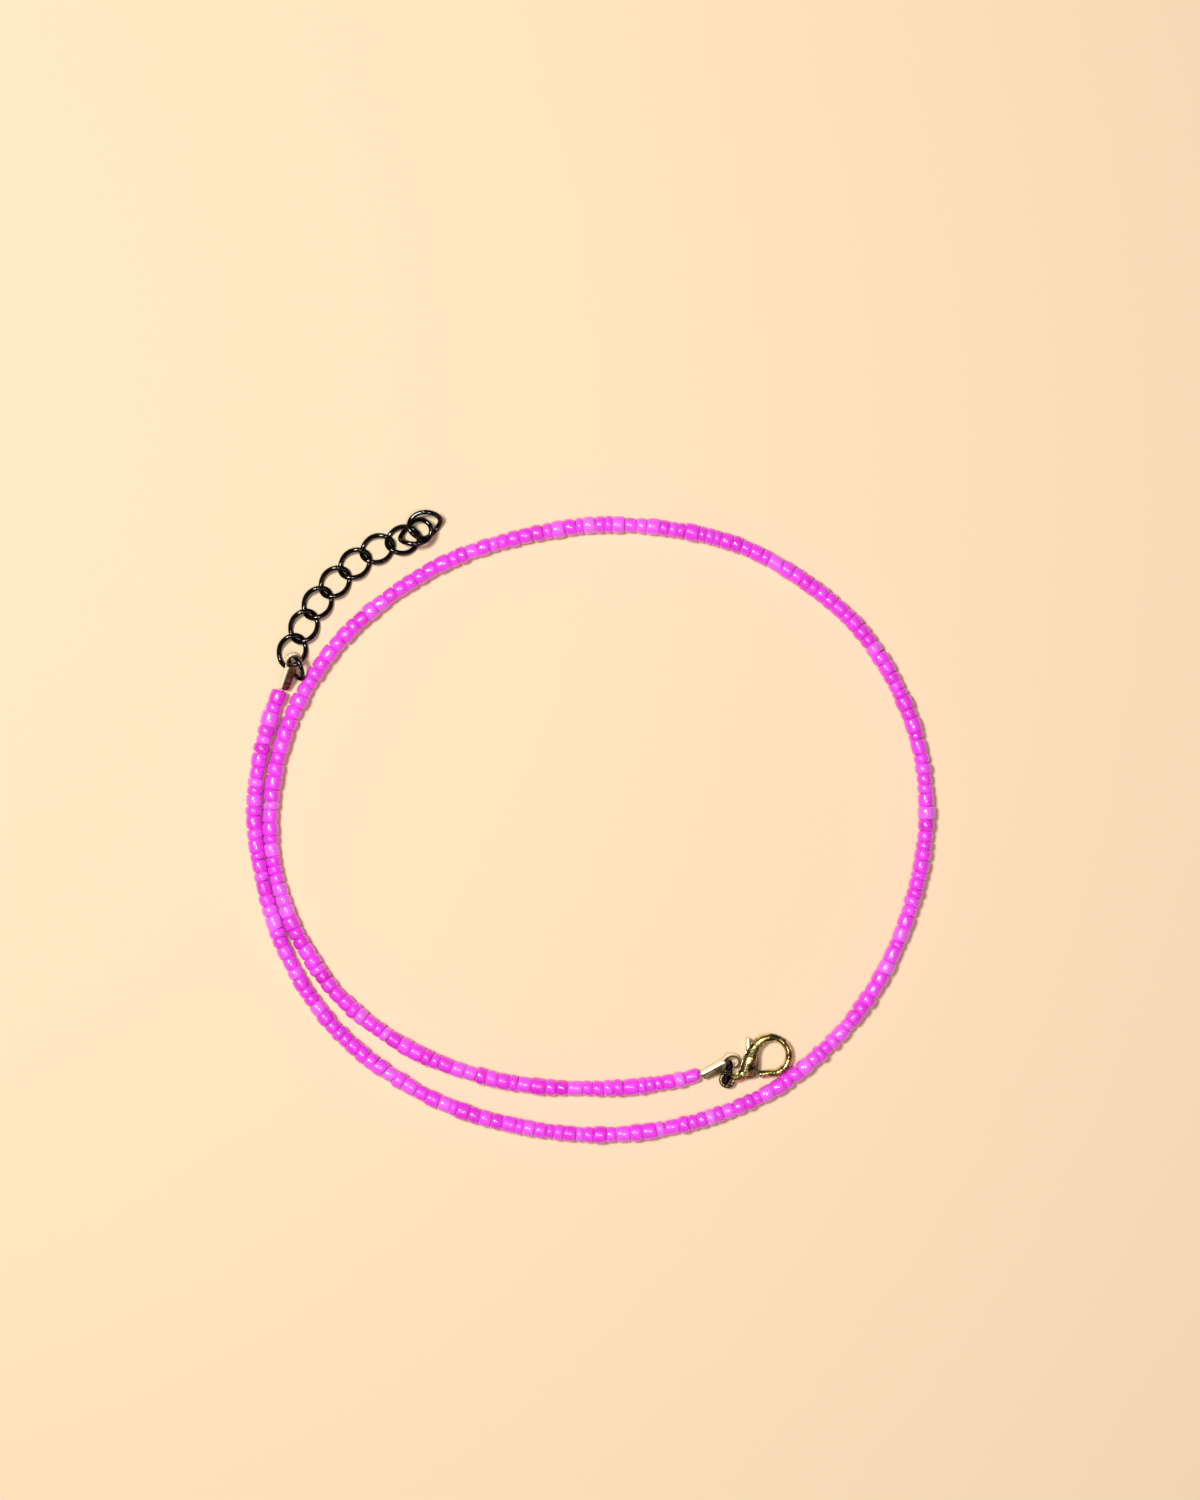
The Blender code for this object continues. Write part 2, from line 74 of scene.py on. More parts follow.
# %% [markdown]
# ## Light
# Shadows on the lower right say that the main light stands at the upper left, and a small sharp white
# streak on every bead says that a smaller lamp hangs nearly overhead. Lights could also be a picture
# of a studio wrapped round the scene, but a few area lights are easier to move and to understand.
# The Standard view keeps the magenta as strong as glass is. A film-like view would grey it.

# %% Lights and background
def add_light(name, place, size, watts):
    light = bpy.data.objects.new(name, bpy.data.lights.new(name, "AREA"))
    light.data.shape = "DISK"
    light.data.size = size
    light.data.energy = watts
    light.location = place
    light.rotation_euler = (PICTURE_MIDDLE - Vector(place)).to_track_quat("-Z", "Y").to_euler()
    light.visible_camera = False
    bpy.context.scene.collection.objects.link(light)


add_light("window", (-0.25, 0.13, 0.72), 0.20, 5.3)
add_light("ceiling_lamp", (0.06, -0.07, 0.75), 0.14, 1.15)
add_light("low_fill", (0.36, -0.62, 0.45), 0.60, 0.45)

world = bpy.data.worlds.new("room")
world.use_nodes = True
world.node_tree.nodes["Background"].inputs["Color"].default_value = (1.0, 0.93, 0.84, 1.0)
world.node_tree.nodes["Background"].inputs["Strength"].default_value = 0.06
bpy.context.scene.world = world
bpy.context.scene.view_settings.view_transform = "Standard"

# %% [markdown]
# ## Node helpers
# Every finish below is a small tree of shader nodes. Four helpers keep the trees short to read: they
# start a material, make a node with its settings, turn a value into a colour and mix two colours.

# %% Helpers for materials
def new_material(name):
    material = bpy.data.materials.new(name)
    material.use_nodes = True
    return material, material.node_tree, material.node_tree.nodes["Principled BSDF"]


def add_node(tree, kind, **settings):
    """A node with its settings: plain words are its properties, words with a capital its sockets."""
    node = tree.nodes.new(kind)
    for name, value in settings.items():
        socket = name.replace("_", " ")
        if name[0].isupper():
            node.inputs[socket].default_value = value
        else:
            setattr(node, name, value)
    return node


def ramp(tree, source, stops):
    """A colour ramp from (position, grey or colour) pairs."""
    node = tree.nodes.new("ShaderNodeValToRGB")
    elements = node.color_ramp.elements
    while len(elements) < len(stops):
        elements.new(0.5)
    for element, (position, value) in zip(elements, stops):
        element.position = position
        element.color = (value, value, value, 1) if isinstance(value, float) else (*value, 1)
    tree.links.new(source, node.inputs["Fac"])
    return node.outputs["Color"]


def mix_colours(tree, factor, first, second):
    """Mix two colours by a factor. Each is given as a colour or as another node's output."""
    node = tree.nodes.new("ShaderNodeMix")
    node.data_type = "RGBA"
    for socket, value in ((0, factor), (6, first), (7, second)):
        if isinstance(value, bpy.types.NodeSocket):
            tree.links.new(value, node.inputs[socket])
        else:
            node.inputs[socket].default_value = (*value, 1)
    return node.outputs[2]


# %% [markdown]
# ## Table top
# A plain pale surface, wide enough to run past every view. It is a warm cream rather than pure white,
# so it throws warm light up under the beads, as the real surface does.

# %% Floor
FLOOR_COLOUR = (0.92, 0.70, 0.455)
FLOOR_SIZE = 4.0

floor_mesh = bpy.data.meshes.new("table_top")
builder = bmesh.new()
bmesh.ops.create_grid(builder, x_segments=1, y_segments=1, size=FLOOR_SIZE / 2)
builder.to_mesh(floor_mesh)
builder.free()
floor = bpy.data.objects.new("table_top", floor_mesh)
floor.location.z = -0.02 * MM
bpy.context.scene.collection.objects.link(floor)
floor_paint, floor_tree, floor_shader = new_material("pale_table")
floor_shader.inputs["Base Color"].default_value = (*FLOOR_COLOUR, 1)
floor_shader.inputs["Roughness"].default_value = 0.85
floor_mesh.materials.append(floor_paint)

# %% [markdown]
# ## Finishing a piece
# Every new piece goes through the same last steps: its faces are turned outwards, it is shaded
# smooth but for its sharp edges, it gets its material, and it is tied to the part of the necklace
# that it moves with.

# %% Helper that turns a bmesh into a finished piece
def finish_piece(name, builder, material, stands_for, body="necklace", sharp=40.0):
    bmesh.ops.recalc_face_normals(builder, faces=builder.faces)
    mesh = bpy.data.meshes.new(name)
    builder.to_mesh(mesh)
    builder.free()
    mesh.shade_smooth()
    mesh.set_sharp_from_angle(angle=math.radians(sharp))
    mesh.materials.append(material)
    piece = bpy.data.objects.new(name, mesh)
    bpy.context.scene.collection.objects.link(piece)
    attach(piece, body)
    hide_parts(*stands_for)
    return piece


def apply_modifiers(piece):
    """Bake a piece's modifiers into its mesh."""
    evaluated = piece.evaluated_get(bpy.context.evaluated_depsgraph_get())
    mesh = bpy.data.meshes.new_from_object(evaluated)
    piece.modifiers.clear()
    piece.data = mesh


# %% [markdown]
# ## The string's route
# The string was laid by hand, so its route is a list of given points, with a smooth curve through them.
# It is the same list that the tube follows in the construction. A bead string could also be dropped in a
# simulation, but then it would lie in another curve than the real one.

# %% Route of the bead string, in millimetres
STRAND_ROUTE = [
    (-47.95, 21.0), (-49.3, 17.2), (-51.2, 10.0), (-52.0, 2.0), (-51.3, -5.3), (-49.3, -13.7),
    (-45.6, -22.6), (-39.7, -31.0), (-31.2, -38.2), (-21.0, -43.6), (-8.9, -46.8), (3.4, -47.7),
    (15.7, -45.85), (25.8, -42.1), (32.6, -37.7), (40.0, -30.6), (45.9, -21.6), (50.2, -10.4),
    (52.0, 1.0), (50.8, 12.6), (46.9, 22.6), (40.8, 31.4), (32.8, 38.1), (23.6, 43.2),
    (12.8, 45.9), (1.4, 46.6), (-10.0, 44.9), (-21.9, 41.0), (-32.5, 34.4), (-40.2, 26.8),
    (-46.0, 17.2), (-48.9, 7.2), (-49.3, -2.6), (-47.5, -11.3), (-44.1, -18.9), (-38.2, -26.9),
    (-28.9, -33.9), (-18.8, -38.1), (-8.1, -40.2), (3.4, -40.5), (12.5, -39.5), (16.8, -38.35),
]


def smooth_path(points, steps=24):
    """Points along a Catmull-Rom curve through the chosen points."""
    knots = [Vector(p) for p in points]
    knots = [2 * knots[0] - knots[1]] + knots + [2 * knots[-1] - knots[-2]]
    path = []
    for before, start, end, after in zip(knots, knots[1:], knots[2:], knots[3:]):
        for step in range(steps):
            t = step / steps
            path.append(0.5 * (2 * start + (end - before) * t
                               + (2 * before - 5 * start + 4 * end - after) * t ** 2
                               + (3 * start - before - 3 * end + after) * t ** 3))
    path.append(knots[-2])
    return path


def path_length(path):
    return sum((b - a).length for a, b in zip(path, path[1:]))


def point_along(path, distance):
    """The place and direction at a distance along a path."""
    for a, b in zip(path, path[1:]):
        step = (b - a).length
        if distance <= step:
            return a.lerp(b, distance / step), (b - a).normalized()
        distance -= step
    direction = (path[-1] - path[-2]).normalized()
    return path[-1] + direction * distance, direction


strand_path = smooth_path(STRAND_ROUTE)
strand_length = path_length(strand_path)
path_places = np.array(strand_path)
path_distances = np.concatenate([[0], np.cumsum(np.linalg.norm(np.diff(path_places, axis=0), axis=1))])
print("string length in mm:", round(strand_length, 1))

# %% [markdown]
# ## Choosing the beads
# Cheap seed beads are never alike: long glass canes are chopped, then tumbled hot until their edges
# round off. So the string mixes thin discs, short barrels and longer tubes. Each bead is drawn from
# this table with a fixed random seed, which gives the same necklace each time. Copying each bead's
# width from the original would only add a long table of numbers, and no one could tell.

# %% Draw a bead for every stretch of the string
BEAD_DIAMETER = 2.48
BEAD_SPREAD = 0.13
SMALLEST_BEAD = 2.1
LARGEST_BEAD = 2.74
BEAD_GAP = 0.02  # between two runs that lie side by side
METAL_GAP = 0.04  # between a bead and a metal piece beside it
BEAD_KINDS = [
    {"name": "disc", "share": 0.22, "shortest": 1.10, "longest": 1.45, "rounding": 0.27},
    {"name": "barrel", "share": 0.42, "shortest": 1.45, "longest": 1.90, "rounding": 0.32},
    {"name": "tube", "share": 0.36, "shortest": 1.80, "longest": 2.35, "rounding": 0.22},
]
ROUNDING_SPREAD = (0.85, 1.15)
SLANT = 0.05  # how far a bead's two ends lean the same way
WEDGE = 0.035  # how far they lean towards each other
YAW = math.radians(1.6)
ASIDE = 0.025  # how far a bead sits beside the thread's line
SHADE_MIDDLE = 0.5
SHADE_SPREAD = 0.18
BEAD_SEED = 1107
draw = random.Random(BEAD_SEED)


def draw_bead():
    kind = draw.choices(BEAD_KINDS, weights=[row["share"] for row in BEAD_KINDS])[0]
    diameter = min(max(draw.gauss(BEAD_DIAMETER, BEAD_SPREAD), SMALLEST_BEAD), LARGEST_BEAD)
    return {
        "length": draw.uniform(kind["shortest"], kind["longest"]),
        "radius": diameter / 2,
        "rounding": kind["rounding"] * draw.uniform(*ROUNDING_SPREAD),
        "slant": draw.gauss(0.0, SLANT),
        "wedge": draw.gauss(0.0, WEDGE),
        "yaw": draw.gauss(0.0, YAW),
        "aside": draw.gauss(0.0, ASIDE),
        "shade": min(max(draw.gauss(SHADE_MIDDLE, SHADE_SPREAD), 0.0), 1.0),
        "seed": Vector([draw.uniform(0, 50) for _ in range(3)]),
    }


beads = []
while sum(bead["length"] for bead in beads) < strand_length:
    beads.append(draw_bead())
fit = strand_length / sum(bead["length"] for bead in beads)
for bead in beads:
    bead["length"] *= fit
print("beads on the string:", len(beads), "mean length in mm:", round(strand_length / len(beads), 2))

# %% [markdown]
# ## One bead
# A bead is a lathe shape, so its section is spun round the thread. Six points are enough, because a
# Subdivision Surface rounds them, and a bead that is repeated hundreds of times has to stay light.
# Subdivision pulls a shape inwards: by a sixth of the way towards each neighbour along the section,
# and by a fixed share round the ring. The section starts that much larger, so that the finished bead
# has the size that was drawn for it.

# %% Spin one bead
RING_STEPS = 10
RING_SHRINK = (4 + 2 * math.cos(2 * math.pi / RING_STEPS)) / 6
HOLE_RADIUS = 0.42
LARGEST_ROUNDING = 0.42  # share of a bead's length


def bead_section(bead):
    """Half section of a bead as (along, out) points, from one end of its hole round to the other."""
    edge = min(bead["rounding"], bead["length"] * LARGEST_ROUNDING)
    end = bead["length"] / 2 + edge / 6
    out = (bead["radius"] + edge / 6) / RING_SHRINK
    hole = HOLE_RADIUS / RING_SHRINK
    half = [(edge - end, out), (-end, out - edge), (-end, hole)]
    return half[::-1] + [(-along, height) for along, height in half]


def spin_bead(bead):
    builder = bmesh.new()
    corners = [builder.verts.new((along, out, 0)) for along, out in bead_section(bead)]
    edges = [builder.edges.new(pair) for pair in zip(corners, corners[1:] + corners[:1])]
    bmesh.ops.spin(builder, geom=corners + edges, axis=(1, 0, 0), cent=(0, 0, 0), angle=2 * math.pi,
                   steps=RING_STEPS, use_merge=True)
    for vert in builder.verts:
        vert.co.x += bead["slant"] * vert.co.y + bead["wedge"] * abs(vert.co.x) * vert.co.y
    return builder


# %% [markdown]
# ## Stringing them
# Each bead is spun at the origin and then moved to its place. It lies on the table by its own
# radius, a little turned and a little to the side, because the thread is loose in its hole. Two
# attributes go with it for the glass: how light it is, and where a point sits inside its own bead,
# so that the glass's streaks follow the bead and not the table.

# %% String the beads as joined meshes
STRING_PARTS = 3
OTHER_RUN = 30.0  # stretches farther along the string than this are another run of it

metal_nodes = [piece for name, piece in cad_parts.items() if name != "bead_strand"]
metal_places = np.array([v.co / MM for piece in metal_nodes for v in piece.data.vertices])


def room_beside(place, middle):
    """Distance from a bead's middle to the nearest other run of the string."""
    others = path_places[np.abs(path_distances - middle) > OTHER_RUN]
    return np.linalg.norm(others - np.array(place), axis=1).min()


def room_to_metal(place, direction, bead):
    """Distance from a bead's middle line to the metal that lies beside it."""
    away = metal_places - np.array((*place, bead["radius"]))
    along = away @ np.array((*direction, 0.0))
    aside = np.linalg.norm(away - np.outer(along, (*direction, 0.0)), axis=1)
    beside = aside[np.abs(along) < bead["length"] / 2]
    return beside.min() if len(beside) else math.inf


def bead_place(bead, middle):
    place, direction = point_along(strand_path, middle)
    aside = Vector((-direction.y, direction.x)) * bead["aside"]
    heading = math.atan2(direction.y, direction.x) + bead["yaw"]
    return Matrix.Translation((*(place + aside), bead["radius"])) @ Matrix.Rotation(heading, 4, "Z")


def string_beads(group, start):
    """One joined mesh of beads in a row, and the distance along the string where it ends."""
    joined = bmesh.new()
    shade = joined.verts.layers.float.new("bead_shade")
    inside = joined.verts.layers.float_vector.new("inside_bead")
    scratch = bpy.data.meshes.new("scratch")
    for bead in group:
        middle = start + bead["length"] / 2
        middle_place, direction = point_along(strand_path, middle)
        beads_room = (room_beside(middle_place, middle) - BEAD_GAP) / 2
        metal_room = room_to_metal(middle_place, direction, bead) - METAL_GAP
        bead["radius"] = min(bead["radius"], min(beads_room, metal_room) - abs(bead["aside"]))
        builder = spin_bead(bead)
        place = bead_place(bead, middle)
        builder.to_mesh(scratch)
        builder.free()
        before = len(joined.verts)
        joined.from_mesh(scratch)
        joined.verts.ensure_lookup_table()
        for vert in joined.verts[before:]:
            vert[shade] = bead["shade"]
            vert[inside] = vert.co + bead["seed"]
            vert.co = place @ vert.co * MM
        start += bead["length"]
    bpy.data.meshes.remove(scratch)
    return joined, start


# %% [markdown]
# ## Magenta glass
# Opaque glass gets its colour from pigment all through, and its depth from light that goes in a
# little way and comes out again. Three things make it: a magenta that varies from bead to bead, a
# little light scattered under the skin, and a sharp clear coat. Tumbled glass isn't quite even, so a
# faint bump breaks the highlight into short streaks.

# %% Material: glossy opaque magenta glass
GLASS_DARK = (0.78, 0.0, 0.60)
GLASS_MIDDLE = (0.99, 0.048, 0.93)
GLASS_LIGHT = (1.0, 0.18, 1.0)

glass, tree, shader = new_material("magenta_glass")
shade = add_node(tree, "ShaderNodeAttribute", attribute_name="bead_shade")
inside = add_node(tree, "ShaderNodeAttribute", attribute_name="inside_bead")
along_bead = add_node(tree, "ShaderNodeMapping", Scale=(0.5, 1.6, 1.6))
tree.links.new(inside.outputs["Vector"], along_bead.inputs["Vector"])
streaks = add_node(tree, "ShaderNodeTexNoise", Scale=1.4, Detail=3.0)
tree.links.new(along_bead.outputs["Vector"], streaks.inputs["Vector"])
pigment = ramp(tree, shade.outputs["Fac"], [(0.0, GLASS_DARK), (0.55, GLASS_MIDDLE), (1.0, GLASS_LIGHT)])
cloud = ramp(tree, streaks.outputs["Fac"], [(0.35, 0.0), (0.7, 0.22)])
tree.links.new(mix_colours(tree, cloud, pigment, GLASS_LIGHT), shader.inputs["Base Color"])
skin = add_node(tree, "ShaderNodeTexNoise", Scale=1.8, Detail=2.0)
tree.links.new(along_bead.outputs["Vector"], skin.inputs["Vector"])
bump = add_node(tree, "ShaderNodeBump", Strength=0.18, Distance=0.12 * MM)
tree.links.new(skin.outputs["Fac"], bump.inputs["Height"])
tree.links.new(bump.outputs["Normal"], shader.inputs["Normal"])
tree.links.new(bump.outputs["Normal"], shader.inputs["Coat Normal"])
tree.links.new(ramp(tree, streaks.outputs["Fac"], [(0.3, 0.30), (0.75, 0.48)]), shader.inputs["Roughness"])
shader.inputs["Subsurface Weight"].default_value = 0.15
shader.inputs["Subsurface Radius"].default_value = (0.9, 0.15, 0.7)
shader.inputs["Subsurface Scale"].default_value = 0.6 * MM
shader.inputs["Coat Weight"].default_value = 0.9
shader.inputs["Coat Roughness"].default_value = 0.08

# %% [markdown]
# The string is made in a few stretches, because a joined mesh of every bead, once rounded, is heavier
# than one piece should be.

# %% Make the stretches of beads
distance = 0.0
per_part = math.ceil(len(beads) / STRING_PARTS)
for number in range(STRING_PARTS):
    group = beads[number * per_part:(number + 1) * per_part]
    joined, distance = string_beads(group, distance)
    piece = finish_piece(f"seed_beads_{number + 1}", joined, glass, ("bead_strand",),
                         sharp=180)
    rounding = piece.modifiers.new("rounding", "SUBSURF")
    rounding.levels = 1
    rounding.render_levels = 1
    print(piece.name, "beads:", len(group))

# %% [markdown]
# ## Thread
# A fine nylon thread runs through all the holes. It shows only where two beads stand apart and where
# the string goes into its metal ends, but without it those gaps would be empty.

# %% Beading thread
THREAD_DIAMETER = 0.34
THREAD_STEP = 3.0
THREAD_TAIL = 1.6  # how far the thread runs into each metal end

thread_curve = bpy.data.curves.new("beading_thread", "CURVE")
thread_curve.dimensions = "3D"
thread_curve.bevel_depth = THREAD_DIAMETER / 2 * MM
thread_curve.bevel_resolution = 2
thread_curve.use_fill_caps = True
spline = thread_curve.splines.new("POLY")
steps = round((strand_length + 2 * THREAD_TAIL) / THREAD_STEP)
spline.points.add(steps)
for index, point in enumerate(spline.points):
    along = -THREAD_TAIL + (strand_length + 2 * THREAD_TAIL) * index / steps
    place, direction = point_along(strand_path, max(along, 0.0))
    place = place + direction * min(along, 0.0)
    point.co = (*(Vector((*place, BEAD_DIAMETER / 2)) * MM), 1)
thread = bpy.data.objects.new("beading_thread", thread_curve)
bpy.context.scene.collection.objects.link(thread)
nylon, tree, shader = new_material("nylon_thread")
shader.inputs["Roughness"].default_value = 0.5
fibre = add_node(tree, "ShaderNodeTexNoise", Scale=4000.0, Detail=2.0)
where = add_node(tree, "ShaderNodeTexCoord")
tree.links.new(where.outputs["Object"], fibre.inputs["Vector"])
colour = mix_colours(tree, fibre.outputs["Fac"], (0.62, 0.18, 0.42), (0.86, 0.42, 0.68))
tree.links.new(colour, shader.inputs["Base Color"])
thread_curve.materials.append(nylon)
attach(thread, "necklace")
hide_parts("bead_strand")

# %% [markdown]
# ## Reading a link's place
# The chain's links lie at all angles, and the construction already holds each one where it lies. A
# link's own length, width and thickness are the three directions in which its corners spread most,
# next and least, so they are read from the loaded mesh and nothing is placed by eye.

# %% Frame of a loaded piece of wire
def spread_frame(node):
    """Middle of a node and its axes: X along its largest spread, Z along its smallest."""
    corners = np.array([v.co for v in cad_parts[node].data.vertices])
    middle = corners.mean(axis=0)
    _, axes = np.linalg.eigh(np.cov((corners - middle).T))
    along = Vector(axes[:, 2])
    thin = Vector(axes[:, 0])
    across = thin.cross(along)
    turned = Matrix((along, across, thin)).transposed().to_4x4()
    return Matrix.Translation(middle) @ turned


# %% [markdown]
# ## Drawing round wire
# A link is a length of round wire bent into a loop. A curve with a bevel would make it too, but the
# wire's two ends have to meet in a fine cut, so a ring is placed at each step along the loop and each
# pair of rings is bridged. The ends are closed and their edges rounded, as a cutter leaves them.

# %% Sweep a wire through frames
CUT_ROUNDING = 0.035


def wire_frames(points, up):
    """A frame at each point with Z along the wire and Y near to the given direction."""
    frames = []
    for index, place in enumerate(points):
        before = points[max(index - 1, 0)]
        after = points[min(index + 1, len(points) - 1)]
        along = (after - before).normalized()
        side = up.cross(along).normalized()
        axes = Matrix((side, along.cross(side), along)).transposed().to_4x4()
        frames.append(Matrix.Translation(place) @ axes)
    return frames


def sweep_wire(frames, diameter, sides):
    builder = bmesh.new()
    rings = []
    for place in frames:
        ring = bmesh.ops.create_circle(builder, segments=sides, radius=diameter / 2 * MM,
                                       matrix=place)["verts"]
        rings.append(list({edge for vert in ring for edge in vert.link_edges}))
    for near, far in zip(rings, rings[1:]):
        bmesh.ops.bridge_loops(builder, edges=near + far)
    for ring in (rings[0], rings[-1]):
        bmesh.ops.contextual_create(builder, geom=ring)
        bmesh.ops.bevel(builder, geom=ring, offset=CUT_ROUNDING * MM, segments=2, profile=0.5,
                        affect="EDGES", material=-1)
    return builder


# %% [markdown]
# ## Gunmetal plating
# The chain is steel wire with a black mirror plating. A black metal reflects only a few parts in a
# hundred, so it stays dark but for thin white streaks where a lamp is reflected. Handling leaves the
# plating a little dull in patches.

# %% Material: black gunmetal plating
gunmetal, tree, shader = new_material("gunmetal_plating")
where = add_node(tree, "ShaderNodeTexCoord")
patches = add_node(tree, "ShaderNodeTexNoise", Scale=900.0, Detail=4.0)
tree.links.new(where.outputs["Object"], patches.inputs["Vector"])
black = mix_colours(tree, patches.outputs["Fac"], (0.035, 0.034, 0.032), (0.095, 0.09, 0.083))
tree.links.new(black, shader.inputs["Base Color"])
tree.links.new(ramp(tree, patches.outputs["Fac"], [(0.35, 0.07), (0.7, 0.15)]), shader.inputs["Roughness"])
shader.inputs["Metallic"].default_value = 1.0
shader.inputs["Specular Tint"].default_value = (0.20, 0.18, 0.16, 1)

# %% [markdown]
# ## Chain links
# Each link is an oval that is twisted along its length, so that flat links can pass over and under
# each other. The twist grows from one end to the other, which is what a curb chain is.

# %% Wire loops for the chain's links
LINK_LENGTH = 5.8
LINK_WIDTH = 4.75
LINK_WIRE = 0.7
LINK_WIRE_PLATED = 0.74  # the wire with its plating
LINK_CLEARANCE = 0.2
TWIST_MARGIN = 1.12
LINK_CUT = 0.004  # share of the loop that the cut takes
LINK_STEPS = 60
WIRE_SIDES = 12


def link_twist():
    half_length = (LINK_LENGTH - LINK_WIRE) / 2
    half_width = (LINK_WIDTH - LINK_WIRE) / 2
    pitch = LINK_LENGTH - 2 * LINK_WIRE - LINK_CLEARANCE
    share = pitch / 2 / half_length
    crossing = half_width * math.sqrt(1 - share ** 2)
    return math.asin((LINK_WIRE + LINK_CLEARANCE) * TWIST_MARGIN / (2 * crossing)) / share


def link_loop(place):
    """Points along a link's wire, from one side of its cut round to the other."""
    half_length = (LINK_LENGTH - LINK_WIRE) / 2
    half_width = (LINK_WIDTH - LINK_WIRE) / 2
    points = []
    for step in range(LINK_STEPS + 1):
        share = LINK_CUT / 2 + (1 - LINK_CUT) * step / LINK_STEPS
        turn = 2 * math.pi * share + math.pi / 2
        across = half_width * math.sin(turn)
        lean = link_twist() * math.cos(turn)
        points.append(place @ Vector((half_length * math.cos(turn), across * math.cos(lean),
                                      across * math.sin(lean))))
    return points


links = sorted(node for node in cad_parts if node.startswith("chain_link"))
for node in links:
    place = spread_frame(node) @ Matrix.Scale(MM, 4)
    up = spread_frame(node).to_3x3().col[2]
    builder = sweep_wire(wire_frames(link_loop(place), up), LINK_WIRE_PLATED, WIRE_SIDES)
    finish_piece(node.replace("chain_link", "link_wire"), builder, gunmetal, (node,))
print("links made:", len(links))

# %% [markdown]
# ## Jump rings
# A jump ring is one turn of a coil, cut straight through, so it is a circle of wire spun almost all
# the way round. Its cut lies where the ring hangs free.

# %% Jump rings
RING_WIRE = 0.62
RINGS = [
    {"node": "chain_jump_ring", "diameter": 4.5, "cut_towards": (0.3, -1.0, 0.6)},
    {"node": "clasp_jump_ring", "diameter": 3.8, "cut_towards": (-1.0, 0.2, 0.8)},
]
RING_CUT = 0.008
RING_STEPS_ROUND = 64

for row in RINGS:
    centre_frame = spread_frame(row["node"])
    thin = centre_frame.to_3x3().col[2]
    towards = Vector(row["cut_towards"])
    towards = (towards - thin * towards.dot(thin)).normalized()
    radius = (row["diameter"] - RING_WIRE) / 2 * MM
    points = []
    for step in range(RING_STEPS_ROUND + 1):
        turn = 2 * math.pi * (RING_CUT / 2 + (1 - RING_CUT) * step / RING_STEPS_ROUND)
        outwards = Matrix.Rotation(turn, 3, thin) @ towards
        points.append(centre_frame.translation + outwards * radius)
    builder = sweep_wire(wire_frames(points, thin), RING_WIRE, WIRE_SIDES)
    finish_piece(row["node"].replace("jump_ring", "ring_wire"), builder, gunmetal,
                 (row["node"],))

# %% [markdown]
# ## Brass, new and old
# All the brass here is the same metal with another history, and parts of it carry painted shade. The
# folded ends are sheet that has gone olive; the one on the chain's side is painted darker and reddish
# brown, as shade with the pink beads reflected in it. The clasp was cast with a rough skin, dipped in a
# black bath and then polished, so that black stays in the pits and gold comes back on the high places.
# The clasp's lever and eye are painted darker, as shade. One helper makes them all: a noise decides
# where the patina lies, and a finer noise raises the skin.

# %% Materials: sheet, cast, lever and eye brass
def brass_material(name, gold, patina, patina_from, patina_to, pit_depth, roughness):
    """Brass that turns from patina to gold where the noise rises. Roughness is for gold, then patina."""
    material, tree, shader = new_material(name)
    where = add_node(tree, "ShaderNodeTexCoord").outputs["Object"]
    broad = add_node(tree, "ShaderNodeTexNoise", Scale=700.0, Detail=3.0)
    fine = add_node(tree, "ShaderNodeTexNoise", Scale=2600.0, Detail=4.0, Roughness=0.6)
    for noise in (broad, fine):
        tree.links.new(where, noise.inputs["Vector"])
    both = add_node(tree, "ShaderNodeMath", operation="MULTIPLY")
    tree.links.new(broad.outputs["Fac"], both.inputs[0])
    tree.links.new(fine.outputs["Fac"], both.inputs[1])
    polished = ramp(tree, both.outputs["Value"], [(patina_from, 0.0), (patina_to, 1.0)])
    tree.links.new(mix_colours(tree, polished, patina, gold), shader.inputs["Base Color"])
    polish = ramp(tree, both.outputs["Value"], [(patina_from, roughness[1]), (patina_to, roughness[0])])
    tree.links.new(polish, shader.inputs["Roughness"])
    bump = add_node(tree, "ShaderNodeBump", Strength=0.8, Distance=pit_depth * MM)
    tree.links.new(fine.outputs["Fac"], bump.inputs["Height"])
    tree.links.new(bump.outputs["Normal"], shader.inputs["Normal"])
    shader.inputs["Metallic"].default_value = 1.0
    return material


sheet_brass = brass_material(
    "sheet_brass", gold=(0.56, 0.45, 0.22), patina=(0.20, 0.15, 0.06),
    patina_from=0.14, patina_to=0.30, pit_depth=0.03, roughness=(0.26, 0.45))
# The chain's folded end: the same sheet, painted dark as shade and reddish as a reflection of the pink
# beads.
sheet_brass_painted_shade_pink = brass_material(
    "sheet_brass_painted_shade_pink", gold=(0.40, 0.19, 0.11), patina=(0.10, 0.045, 0.025),
    patina_from=0.14, patina_to=0.30, pit_depth=0.03, roughness=(0.26, 0.45))
cast_brass = brass_material(
    "antique_cast_brass", gold=(0.88, 0.68, 0.25), patina=(0.045, 0.036, 0.014),
    patina_from=0.19, patina_to=0.315, pit_depth=0.06, roughness=(0.20, 0.46))
# The lever's near-black brass is painted shade.
lever_in_painted_shade = brass_material(
    "brass_lever_painted_shade", gold=(0.075, 0.042, 0.022), patina=(0.03, 0.02, 0.012),
    patina_from=0.20, patina_to=0.36, pit_depth=0.03, roughness=(0.32, 0.48))
# The eye's darker brass is painted shade, cast by the jump ring and the folded end above it.
eye_brass = brass_material(
    "shaded_eye_brass", gold=(0.36, 0.28, 0.12), patina=(0.025, 0.02, 0.012),
    patina_from=0.22, patina_to=0.36, pit_depth=0.05, roughness=(0.26, 0.5))

# %% [markdown]
# The fold and the hook of each end carry a painted highlight: a pale ivory, laid on the side of the fold
# that faces up, and the flat flaps keep the sheet's own colour. So the sheet is mixed once more, by a
# value that says how far a point is from the fold. The cut edges of the sheet get their own darker,
# rougher material. The lever is painted dark as shade but for its tab, which carries a painted highlight.

# %% Materials: painted highlight on the fold and the tab, darker cut edge
HIGHLIGHT_METALLIC = 0.2  # the painted highlight is mostly pale paint and only this much metal
